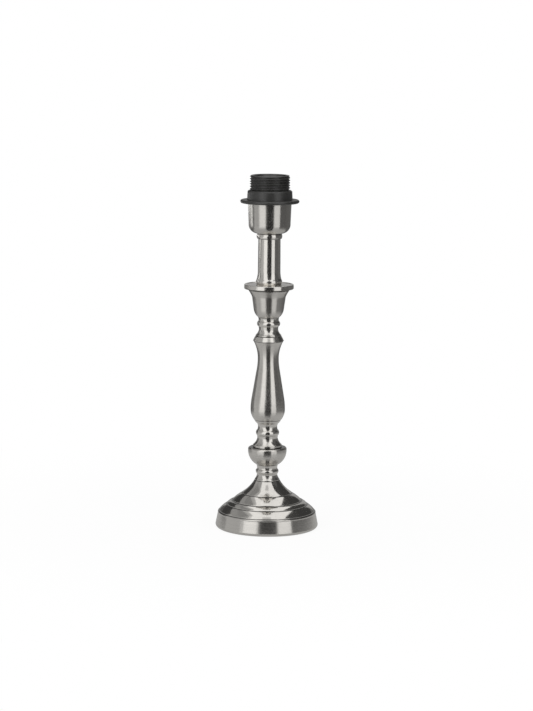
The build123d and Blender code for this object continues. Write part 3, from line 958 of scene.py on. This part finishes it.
@dataclass
class Foot:
    """Stepped foot on its felt pad, with the weight and the fixings inside.

    Attributes:
        edge_roll: Radius of the rolled edge under the rim.
        step_radii: Radius of each step's riser, from the rim up.
        step_levels: Height of each step's upper corner.
        step_bulges: How far the curve below each step swells.
        ledge: How far a step's curve ends outside the riser.
        riser: Height of a step's riser.
        dome_hollow: How far the dome's curve up to the neck is hollowed.
    """

    bottom: float = 0.3
    top: float = 48.5
    wall: float = 1.2
    rim_radius: float = 51.7
    edge_roll: float = 3.2
    inner_roll_bulge: float = 0.6
    rim_top_radius: float = 49.4
    rim_height: float = 14.9
    step_radii: tuple[float, ...] = (48.18, 40.38, 34.48, 24.71)
    step_levels: tuple[float, ...] = (17.75, 24.4, 28.26, 35.73)
    step_bulges: tuple[float, ...] = (0.35, 0.45, 0.45, 0.45)
    ledge: float = 0.5
    riser: float = 0.7
    dome_hollow: float = 1.05
    dome_top_radius: float = 12.7
    shell_steps: int = 192
    pad_radius: float = 47.8
    pad_top: float = 1.5
    pad_edge: float = 0.3

    def outside(self) -> Corners:
        """Lays out the shell's outside, from the rolled edge up to the neck's seat.

        Returns:
            The corners in order.
        """
        roll_bulge = self.edge_roll * (1 - 0.5**0.5)
        corners: list[Corner] = [
            (self.rim_radius - self.edge_roll, self.bottom),
            (self.rim_radius, self.bottom + self.edge_roll, roll_bulge),
            (self.rim_top_radius, self.bottom + self.rim_height),
        ]
        for radius, level, bulge in zip(self.step_radii, self.step_levels, self.step_bulges):
            corners += [
                (radius + self.ledge, level - self.riser, bulge),
                (radius, level - self.riser),
                (radius, level),
            ]
        corners.append((self.dome_top_radius, self.top, -self.dome_hollow))
        return tuple(corners)

    def inside(self) -> Corners:
        """Lays out the shell's inside, from the bore down to the rolled edge.

        Returns:
            The corners in order.
        """
        ceiling = self.top - self.wall
        return (
            (BORE, self.top),
            (BORE, ceiling),
            (self.dome_top_radius - self.wall, ceiling),
            *(
                (radius - self.wall, level - self.wall)
                for radius, level in zip(self.step_radii[::-1], self.step_levels[::-1])
            ),
            (self.rim_top_radius - self.wall, self.bottom + self.rim_height - self.wall),
            (self.rim_radius - self.wall, self.bottom + self.edge_roll),
            (self.rim_radius - self.edge_roll, self.bottom + self.wall, self.inner_roll_bulge),
        )

    def pad(self, dresser: Dresser) -> None:
        """Cuts the felt pad, with its edges pressed round.

        Args:
            dresser: What gives it its finish.
        """
        select_none()
        height = self.pad_top * MM
        bpy.ops.mesh.primitive_cylinder_add(
            vertices=LATHE_STEPS,
            radius=self.pad_radius * MM,
            depth=height,
            location=(0, 0, height / 2),
            end_fill_type="NGON",
        )
        piece = bpy.context.object
        piece.name = "felt_disc"
        bpy.ops.object.mode_set(mode="EDIT")
        bpy.ops.mesh.select_all(action="SELECT")
        bpy.ops.mesh.bevel(offset=self.pad_edge * MM, segments=2, affect="EDGES")
        bpy.ops.object.mode_set(mode="OBJECT")
        bpy.ops.object.transform_apply(location=True, rotation=True, scale=True)
        smooth(piece)
        dresser.piece(piece, Slot.FELT, ("felt_pad",))

    def build(self, dresser: Dresser) -> None:
        """Spins the shell from one sheet, cuts the pad and finishes the solids in the foot.

        Args:
            dresser: What gives them their finishes.
        """
        section = Profile(self.outside() + self.inside())
        shell = TurnedPiece(
            "foot_shell", "base_shell", section, Slot.NICKEL_BRUSHED, FOOT_METAL,
            steps=self.shell_steps,
        )
        shell.build(dresser)
        self.pad(dresser)
        dresser.solids(
            base_weight=Slot.IRON,
            weight_washer=Slot.STEEL,
            base_lock_washer=Slot.STEEL,
            base_nut=Slot.BRASS,
            threaded_tube=Slot.STEEL,
            cord_bush=Slot.BLACK_PLASTIC,
        )


@dataclass(frozen=True)
class NeckSizes:
    """Sizes of one beaded neck.

    Attributes:
        name: Name of the piece.
        node: Solid that it stands for.
        bottom: Height at which it starts.
        height: Its own height, without a cap.
        foot: Radius and height of the edge of its foot.
        waist: Radius of its waist, and the waist's height above its bottom.
        bead: Radius of its bead, and the height of the bead's middle.
        bead_half: Half of the bead's own height.
        throat_radius: Radius above the bead.
        head_radius: Radius at its top.
        hollow: How far the flare up to its top is hollowed.
        cap: Corners of a seat for the next piece, on its top.
    """

    name: str
    node: str
    bottom: float
    height: float
    foot: Point
    waist: Point
    bead: Point
    bead_half: float
    throat_radius: float
    head_radius: float
    hollow: float
    cap: Corners = ()


@dataclass
class Stem:
    """Turned stem from the foot up to the bell cup."""

    quirk: float = 0.3
    flare_share: float = 0.18
    neck_rounding: float = 0.2
    neck_chord: float = 0.4
    necks: tuple[NeckSizes, ...] = (
        NeckSizes(
            "neck_on_foot", "foot_neck", bottom=48.5, height=16.0,
            foot=(12.5, 0.8), waist=(10.3, 5.6), bead=(11.6, 9.1), bead_half=2.0,
            throat_radius=10.4, head_radius=11.0, hollow=0.4,
        ),
        NeckSizes(
            "neck_on_bowl", "lower_neck", bottom=82.2, height=24.6,
            foot=(14.6, 2.4), waist=(10.2, 9.4), bead=(11.7, 14.8), bead_half=2.7,
            throat_radius=10.4, head_radius=10.8, hollow=0.95,
            cap=((11.1, 106.8), (13.3, 110.0, 0.3)),
        ),
        NeckSizes(
            "neck_under_bell", "upper_neck", bottom=195.4, height=18.6,
            foot=(12.8, 0.8), waist=(9.6, 6.4), bead=(11.4, 12.1), bead_half=2.7,
            throat_radius=10.2, head_radius=10.5, hollow=0.25,
        ),
    )
    bowl: Corners = bored((11.1, 64.5), (19.4, 79.0, 2.3), (19.4, 80.4), (17.8, 82.2, 0.45))
    baluster: Corners = bored(
        (13.5, 110.0), (17.25, 121.4, 1.1), (16.35, 132.1, 0.22), (11.4, 161.8),
        (10.5, 172.5, -0.22), (14.9, 190.0, -1.1),
    )
    knop: Corners = bored(
        (14.9, 190.0), (15.5, 190.4), (13.3, 194.8), (12.7, 195.1), (13.0, 195.4)
    )

    def neck(self, sizes: NeckSizes) -> TurnedPiece:
        """Lays out a neck: trumpet foot, waist, bead between two quirks, throat and flared head.

        Args:
            sizes: The neck's sizes.

        Returns:
            The neck, ready for the lathe.
        """
        foot_radius, foot_height = sizes.foot
        waist_radius, waist_height = sizes.waist
        bead_radius, bead_height = sizes.bead
        low = sizes.bottom + bead_height - sizes.bead_half
        high = sizes.bottom + bead_height + sizes.bead_half
        waist_end = waist_radius + self.quirk
        flare_bulge = self.flare_share * (waist_radius - foot_radius)
        corners = bored(
            (foot_radius, sizes.bottom),
            (foot_radius, sizes.bottom + foot_height),
            (waist_radius, sizes.bottom + waist_height, flare_bulge),
            (waist_end, low),
            (waist_end + self.quirk, low),
            (sizes.throat_radius + self.quirk, high, bead_radius - waist_end - self.quirk),
            (sizes.throat_radius, high),
            (sizes.head_radius, sizes.bottom + sizes.height, -sizes.hollow),
            *sizes.cap,
        )
        section = Profile(corners, self.neck_rounding, self.neck_chord)
        return TurnedPiece(sizes.name, sizes.node, section, Slot.NICKEL_POLISHED)

    def build(self, dresser: Dresser) -> None:
        """Turns the necks, bowl, baluster and knop.

        Args:
            dresser: What gives them their finishes.
        """
        for piece in (
            *map(self.neck, self.necks),
            TurnedPiece("bowl", "bowl_knop", Profile(self.bowl), Slot.NICKEL_BRUSHED),
            TurnedPiece("baluster_body", "baluster", Profile(self.baluster), Slot.NICKEL_BRUSHED),
            TurnedPiece("sharp_knop", "upper_knop", Profile(self.knop), Slot.NICKEL_POLISHED),
        ):
            piece.build(dresser)


@dataclass
class CandleHead:
    """Bell cup, drip pan, candle tube, bead ring and the cup around the lampholder."""

    chord: float = 0.45
    bell: Corners = bored(
        (10.5, 214.0), (15.1, 222.2, 0.9), (16.8, 234.5), (20.7, 241.4, -0.3), (20.0, 241.4),
        (20.0, 242.0), (18.5, 242.0), (15.3, 234.5, 0.2), (13.7, 222.8), (10.2, 215.5, -0.7),
    )
    pan: Corners = (
        (BORE, 245.4), (18.0, 242.0), (20.0, 242.0), (20.0, 242.7), (24.15, 242.7),
        (24.75, 243.9, 0.3), (24.75, 246.6), (24.15, 247.2, 0.15), (23.35, 247.2),
        (22.85, 246.7), (12.6, 247.4), (9.9, 247.4), (9.9, 250.4), (BORE, 250.4),
    )
    tube: Corners = (
        (10.0, 247.4), (12.3, 247.4), (12.6, 252.0, 0.65), (12.2, 252.8), (11.3, 259.4, -0.15),
        (11.1, 293.0), (10.0, 293.0),
    )
    bead_ring: Corners = bored((9.9, 290.0), (9.9, 293.0), (12.2, 293.0), (12.2, 298.2, 0.6))
    cup: Corners = bored(
        (11.9, 298.2), (20.9, 307.2, 2.64), (21.7, 328.5), (20.7, 328.5), (19.9, 307.2),
        (11.9, 299.2, -2.34),
    )

    def build(self, dresser: Dresser) -> None:
        """Turns the five pieces.

        Args:
            dresser: What gives them their finishes.
        """
        for name, node, corners, slot, finish in (
            ("bell", "bell_cup", self.bell, Slot.NICKEL_BRUSHED, BELL_METAL),
            ("pan", "drip_pan", self.pan, Slot.NICKEL_POLISHED, None),
            ("tube", "candle_tube", self.tube, Slot.NICKEL_POLISHED, None),
            ("bead_ring", "tube_collar", self.bead_ring, Slot.NICKEL_POLISHED, None),
            ("cup", "holder_cup", self.cup, Slot.NICKEL_BRUSHED, CUP_METAL),
        ):
            section = Profile(corners, chord=self.chord)
            TurnedPiece(name, node, section, slot, finish).build(dresser)


@dataclass
class Lampholder:
    """Threaded skirt with its Edison shell and contacts, and the shade ring."""

    skirt: Profile = Profile(
        (
            (18.2, 317.0), (19.5, 317.0), (19.5, 328.5), (20.0, 328.7), (20.0, 354.8),
            (18.8, 356.0), (16.6, 356.0), (13.8, 351.5), (13.8, 333.0), (12.9, 333.0),
            (12.9, 330.0), (18.2, 330.0),
        ),
        rounding=0.2,
        rows=0.22,
    )
    ring: Profile = Profile(
        (
            (20.25, 328.5), (28.2, 328.5), (28.2, 331.7, 1.2), (22.65, 331.7), (22.25, 340.0),
            (21.25, 341.0), (20.25, 341.0),
        ),
        rounding=0.3,
        chord=0.3,
        rows=0.25,
    )
    shell: Profile = Profile(
        (
            (11.8, 333.0), (13.75, 333.0), (13.75, 351.5), (13.3, 351.5), (13.3, 333.45),
            (11.8, 333.45),
        ),
        rounding=0.1,
        chord=0.3,
        rows=0.28,
    )
    skirt_thread: Thread = Thread(
        pitch=2.5, depth=-1.2, low=328.6, high=355.3, nearest=19.4, farthest=20.3,
        runout=0.5, flat=0.12,
    )
    ring_thread: Thread = Thread(
        pitch=2.5, depth=0.7, low=328.7, high=340.8, nearest=20.2, farthest=20.3, runout=1.0,
    )
    shell_thread: Thread = Thread(
        pitch=3.629, depth=-1.1, low=334.2, high=351.2, nearest=13.2, farthest=13.9, flat=0.05,
    )
    skirt_steps: int = 120
    shell_steps: int = 96

    def build(self, dresser: Dresser) -> None:
        """Turns the threaded pieces, and finishes the solids in the lampholder.

        Args:
            dresser: What gives them their finishes.
        """
        for piece in (
            TurnedPiece(
                "threaded_skirt", "holder_skirt", self.skirt, Slot.BLACK_PLASTIC, SKIRT_PLASTIC,
                self.skirt_thread, self.skirt_steps,
            ),
            TurnedPiece(
                "flanged_ring", "shade_ring", self.ring, Slot.BLACK_PLASTIC, RING_PLASTIC,
                self.ring_thread, body=Body.SHADE_RING,
            ),
            TurnedPiece(
                "edison_shell", "screw_shell", self.shell, Slot.BRASS,
                thread=self.shell_thread, steps=self.shell_steps,
            ),
        ):
            piece.build(dresser)
        dresser.solids(
            holder_cap=Slot.BLACK_PLASTIC,
            cap_lock_screw=Slot.STEEL,
            contact_block=Slot.INSULATOR,
            centre_terminal=Slot.BRASS,
            shell_terminal=Slot.BRASS,
            terminal_screws=Slot.STEEL,
            side_contact=Slot.SPRING_BRONZE,
            centre_contact=Slot.SPRING_BRONZE,
        )


# Height in metres of the grey table top that reflections show, just under the floor; its grey is
# painted shade from the lamp.
TABLE_HEIGHT = -0.0002


@dataclass(frozen=True)
class Card:
    """Plain card that stands around the lamp or lies under it, and shows only in its reflections.

    Attributes:
        name: Name of the card.
        left: Azimuth of its left edge in degrees, 0 towards the camera and 90 to the right.
        right: Azimuth of its right edge.
        tone: How light it is, 1 as white paper.
        low: Height of its lower edge in metres, or its inner radius if it lies level.
        high: Height of its upper edge, or its outer radius if it lies level.
        narrowing: Share of its width that is left at the upper edge.
        distance: Its distance from the lamp's axis, or its height if it lies level.
    """

    name: str
    left: float
    right: float
    tone: float
    low: float = -1.2
    high: float = 1.6
    narrowing: float = 1.0
    distance: float = 1.5


@dataclass(frozen=True)
class Canopy:
    """Plain sheet that hangs level over the lamp and shows only in its reflections.

    Attributes:
        name: Name of the sheet.
        front: Left and right end of its front edge in metres.
        rear: Left and right end of its rear edge.
        depth: Places of the front and rear edge on Y.
        tone: How light it is, from 0 to 1.
    """

    name: str
    front: Pair
    rear: Pair
    depth: Pair
    tone: float


@dataclass(frozen=True)
class Softbox:
    """Square soft light that faces the lamp.

    Attributes:
        name: Name of the light.
        place: Its place in metres.
        size: Its side in metres.
        power: Its power in watts.
    """

    name: str
    place: Place
    size: float
    power: float


@dataclass
class Studio:
    """Floor, white background, cards, soft lights and camera, in metres.

    Attributes:
        tables: Level sheets under the lamp that only reflections show; the two at the floor are a
            grey table top with painted shade beside the lamp.
        cards: Upright sheets around it that only reflections show.
        canopies: Sheets over it that only reflections show.
        softboxes: Lights on it.
        aim: Place that the lights face.
        sweep_steps: Divisions of a card's curve.
        floor_tone: How light the floor is.
        floor_fade: Distances from the lamp where the floor's glow starts to rise and is full.
        floor_glow: Share of the glow at these distances.
        soft_light: Strength of the white background as a light.
        camera_pitch: How far the camera looks down, in degrees.
        camera_roll: How far it is turned about its view, in degrees.
    """

    tables: tuple[Card, ...] = (
        # Grey table top seen only in reflections: painted shade of the lamp on the table.
        Card("table", 24.0, 338.0, 0.45, 0.14, 0.45, distance=TABLE_HEIGHT),
        Card("table_middle", 0.0, 360.0, 0.42, 0.02, 0.14, distance=TABLE_HEIGHT),
        Card("shelf", 200.0, 272.0, 0.3, 0.2, 0.3, distance=0.24),
        Card("upper_shelf", 198.0, 264.0, 0.12, 0.245, 0.301, distance=0.2915),
    )
    cards: tuple[Card, ...] = (
        Card("front_card", -22.5, 23.0, 0.035, -4.0, 0.2),
        Card("front_upper_card", -19.0, 27.0, 0.04, 0.2, narrowing=0.4),
        Card("left_low_card", 298.0, 337.5, 0.72, high=-0.2),
        Card("right_low_card", 23.0, 58.0, 0.55, high=-0.2),
        Card("right_bright_card", 23.0, 58.0, 0.85, -0.2, 0.2),
        Card("right_card", 58.0, 165.0, 0.13, high=0.13),
        Card("right_side_card", 57.0, 100.0, 0.1, 0.13),
        Card("right_rear_side_card", 100.0, 157.0, 0.15, 0.13, 0.45),
        Card("right_rear_upper_card", 100.0, 157.0, 0.05, 0.45),
        Card("rear_card", 165.0, 255.0, 0.12, high=0.02),
        Card("rear_middle_card", 165.0, 253.0, 0.32, 0.02, 0.12),
        Card("rear_upper_card", 157.0, 197.0, 0.38, 0.12),
        Card("left_rear_card", 197.0, 250.0, 0.1, 0.12, 0.45),
        Card("left_rear_upper_card", 197.0, 238.0, 0.05, 0.45),
        Card("left_card", 253.0, 298.0, 0.48, high=0.12),
        Card("left_side_card", 250.0, 306.0, 0.42, 0.12, 0.45),
        Card("left_upper_card", 238.0, 306.0, 0.38, 0.45),
        Card("edge_card", 200.0, 238.0, 0.12, 0.245, 0.292, distance=0.3),
        Card("strip_card", 239.0, 258.0, 0.9, 0.245, 0.292, distance=0.3),
        Card("slit_card", 258.0, 270.0, 0.02, 0.245, 0.292, distance=0.3),
        Card("upper_strip_card", 205.0, 256.0, 1.9, 0.292, 0.312, distance=0.3),
    )
    canopies: tuple[Canopy, ...] = (
        Canopy("left_canopy", (-1.55, -1.4), (-0.75, -0.56), (-1.3, -0.1), 0.66),
        Canopy("left_rear_canopy", (-0.75, -0.56), (-0.7, -0.5), (-0.1, 1.6), 0.46),
        Canopy("far_left_canopy", (-1.6, -1.55), (-1.6, -0.75), (-1.3, -0.1), 0.38),
        Canopy("far_rear_canopy", (-1.6, -0.75), (-1.6, -0.7), (-0.1, 1.6), 0.26),
        Canopy("right_canopy", (1.3, 1.6), (0.84, 1.6), (-1.5, -0.1), 0.06),
        Canopy("right_rear_canopy", (0.84, 1.6), (0.7, 1.6), (-0.1, 1.6), 0.06),
        Canopy("front_canopy", (-0.24, 0.24), (-0.18, 0.18), (-0.95, -0.35), 0.6),
    )
    softboxes: tuple[Softbox, ...] = (
        Softbox("left_softbox", (-0.85, -1.05, 0.75), size=0.6, power=7.0),
        Softbox("right_softbox", (0.95, -1.0, 0.6), size=0.5, power=4.0),
        Softbox("top_softbox", (0.0, 0.1, 1.6), size=0.8, power=5.0),
    )
    aim: Place = (0.0, 0.0, 0.2)
    canopy_height: float = 1.6
    sweep_steps: int = 48
    floor_radius: float = 8.0
    floor_tone: float = 0.86
    floor_fade: Pair = (0.08, 0.5)
    floor_glow: Pair = (0.93, 1.0)
    soft_light: float = 0.55
    sensor_width: float = 36.0
    focal_length: float = 127.17
    camera_place: Place = (-0.0018, -2.4896, 0.5519)
    camera_pitch: float = 8.606
    camera_roll: float = 0.57

    def floor(self) -> None:
        """Lays a pale floor that keeps the lamp's shadow, and the tables that reflections show,
        the table top grey as painted shade.
        """
        select_none()
        bpy.ops.mesh.primitive_circle_add(
            vertices=96, radius=self.floor_radius, fill_type="NGON", location=(0, 0, 0)
        )
        sheet = bpy.context.object
        sheet.name = "floor"
        sheet.visible_glossy = False
        sheet.data.materials.append(self.pale())
        for table in self.tables:
            self.reflected_only(self.swept(table, flat=True), table.tone)

    def pale(self) -> bpy.types.Material:
        """Makes a pale surface that glows to the camera and to reflections, less beside the lamp.

        Returns:
            The material.
        """
        shader = Shader("floor")
        plain = shader.node("BsdfDiffuse")
        plain.inputs["Color"].default_value = grey(self.floor_tone).rgba()
        away = shader.vector_math("LENGTH", shader.place()).outputs["Value"]
        glow = shader.mapped(away, self.floor_fade, self.floor_glow, "SMOOTHSTEP")
        factor = shader.value("MULTIPLY", shader.seen(), glow)
        surface = shader.shared(factor, plain.outputs[0], shader.light("Emission"))
        shader.join(surface, shader.output)
        return shader.material

    def swept(self, card: Card, flat: bool = False) -> Piece:
        """Sweeps an edge around the lamp's axis, from a card's left to its right.

        Args:
            card: The card.
            flat: Whether the card lies level.

        Returns:
            The sheet.
        """
        start = math.radians(card.left)
        outwards = Vector((math.sin(start), -math.cos(start), 0.0))
        upwards = Vector((0.0, 0.0, 1.0))
        reach, height = (card.low, card.distance) if flat else (card.distance, card.low)
        sheet = start_point(card.name, outwards * reach + upwards * height)
        extrude((outwards if flat else upwards) * (card.high - card.low))
        bpy.ops.mesh.select_all(action="SELECT")
        sweep = math.radians(card.right - card.left)
        bpy.ops.mesh.spin(steps=self.sweep_steps, angle=-sweep, center=(0, 0, 0), axis=(0, 0, 1))
        bpy.ops.object.mode_set(mode="OBJECT")
        return sheet

    def card(self, card: Card) -> None:
        """Stands one curved card around the lamp, narrower at its upper edge where it tapers.

        Args:
            card: The card.
        """
        sheet = self.swept(card)
        middle = math.radians((card.left + card.right) / 2)
        for vertex in sheet.data.vertices:
            place = sheet.matrix_world @ vertex.co
            if place.z > card.high - MM:
                turn = (math.atan2(place.x, -place.y) - middle + math.pi) % (2 * math.pi) - math.pi
                angle = middle + turn * card.narrowing
                edge = Vector((math.sin(angle), -math.cos(angle), 0.0)) * card.distance
                edge.z = place.z
                vertex.co = sheet.matrix_world.inverted() @ edge
        self.reflected_only(sheet, card.tone)

    def canopy(self, canopy: Canopy) -> None:
        """Hangs one sheet over the lamp, with its front edge extruded to its rear edge.

        Args:
            canopy: The sheet.
        """
        left, right = canopy.front
        front, rear = canopy.depth
        middle = (left + right) / 2
        rear_middle = sum(canopy.rear) / 2
        sheet = start_point(canopy.name, (middle, front, self.canopy_height))
        bpy.ops.transform.translate(value=(left - middle, 0, 0))
        extrude((right - left, 0, 0))
        bpy.ops.mesh.select_all(action="SELECT")
        extrude((rear_middle - middle, rear - front, 0))
        narrowing = (canopy.rear[1] - canopy.rear[0]) / (right - left)
        centre = (rear_middle, rear, self.canopy_height)
        bpy.ops.transform.resize(value=(narrowing, 1, 1), center_override=centre)
        bpy.ops.object.mode_set(mode="OBJECT")
        self.reflected_only(sheet, canopy.tone)

    def reflected_only(self, sheet: Piece, tone: float) -> None:
        """Gives a sheet its tone, seen only in reflections.

        Args:
            sheet: The sheet.
            tone: How light it is.
        """
        shader = Shader(sheet.name)
        shader.join(shader.light("Emission", tone), shader.output)
        sheet.data.materials.append(shader.material)
        sheet.visible_camera = False
        sheet.visible_diffuse = False
        sheet.visible_shadow = False

    def world(self) -> None:
        """Makes the background white, also in reflections, and its light on the object soft."""
        world = bpy.data.worlds.new("studio")
        bpy.context.scene.world = world
        world.use_nodes = True
        nodes = Nodes(world.node_tree)
        soft = nodes.light("Background", strength=self.soft_light)
        background = nodes.shared(nodes.seen(), soft, nodes.light("Background"))
        nodes.join(background, nodes.node("OutputWorld").inputs["Surface"])

    def softbox(self, softbox: Softbox) -> None:
        """Hangs a soft light and points it at the lamp.

        Args:
            softbox: The light.
        """
        data = bpy.data.lights.new(softbox.name, "AREA")
        data.size = softbox.size
        data.energy = softbox.power
        light = bpy.data.objects.new(softbox.name, data)
        light.location = softbox.place
        beam = Vector(self.aim) - Vector(softbox.place)
        light.rotation_euler = beam.to_track_quat("-Z", "Y").to_euler()
        light.visible_camera = False
        light.visible_glossy = False
        bpy.context.scene.collection.objects.link(light)

    def camera(self) -> None:
        """Sets the camera where the photograph was taken from."""
        data = bpy.data.cameras.new("camera")
        data.lens = self.focal_length
        data.sensor_width = self.sensor_width
        camera = bpy.data.objects.new("camera", data)
        tilt = Matrix.Rotation(math.radians(90.0 - self.camera_pitch), 4, "X")
        roll = Matrix.Rotation(math.radians(self.camera_roll), 4, "Z")
        camera.matrix_world = Matrix.Translation(self.camera_place) @ tilt @ roll
        bpy.context.scene.collection.objects.link(camera)
        bpy.context.scene.camera = camera
        bpy.context.scene.view_settings.view_transform = "Standard"

    def build(self) -> None:
        """Sets up the camera, the floor, the cards and the lights."""
        self.camera()
        self.floor()
        for card in self.cards:
            self.card(card)
        for canopy in self.canopies:
            self.canopy(canopy)
        self.world()
        for softbox in self.softboxes:
            self.softbox(softbox)


def main() -> None:
    """Builds the studio and the lamp's sub-assemblies in order."""
    logging.basicConfig(level=logging.INFO, format="%(name)s: %(message)s")
    Studio().build()
    dresser = Dresser()
    for assembly in (Foot(), Stem(), CandleHead(), Lampholder()):
        assembly.build(dresser)
        log.info("%s is done", type(assembly).__name__)


if __name__ == "__main__":
    main()
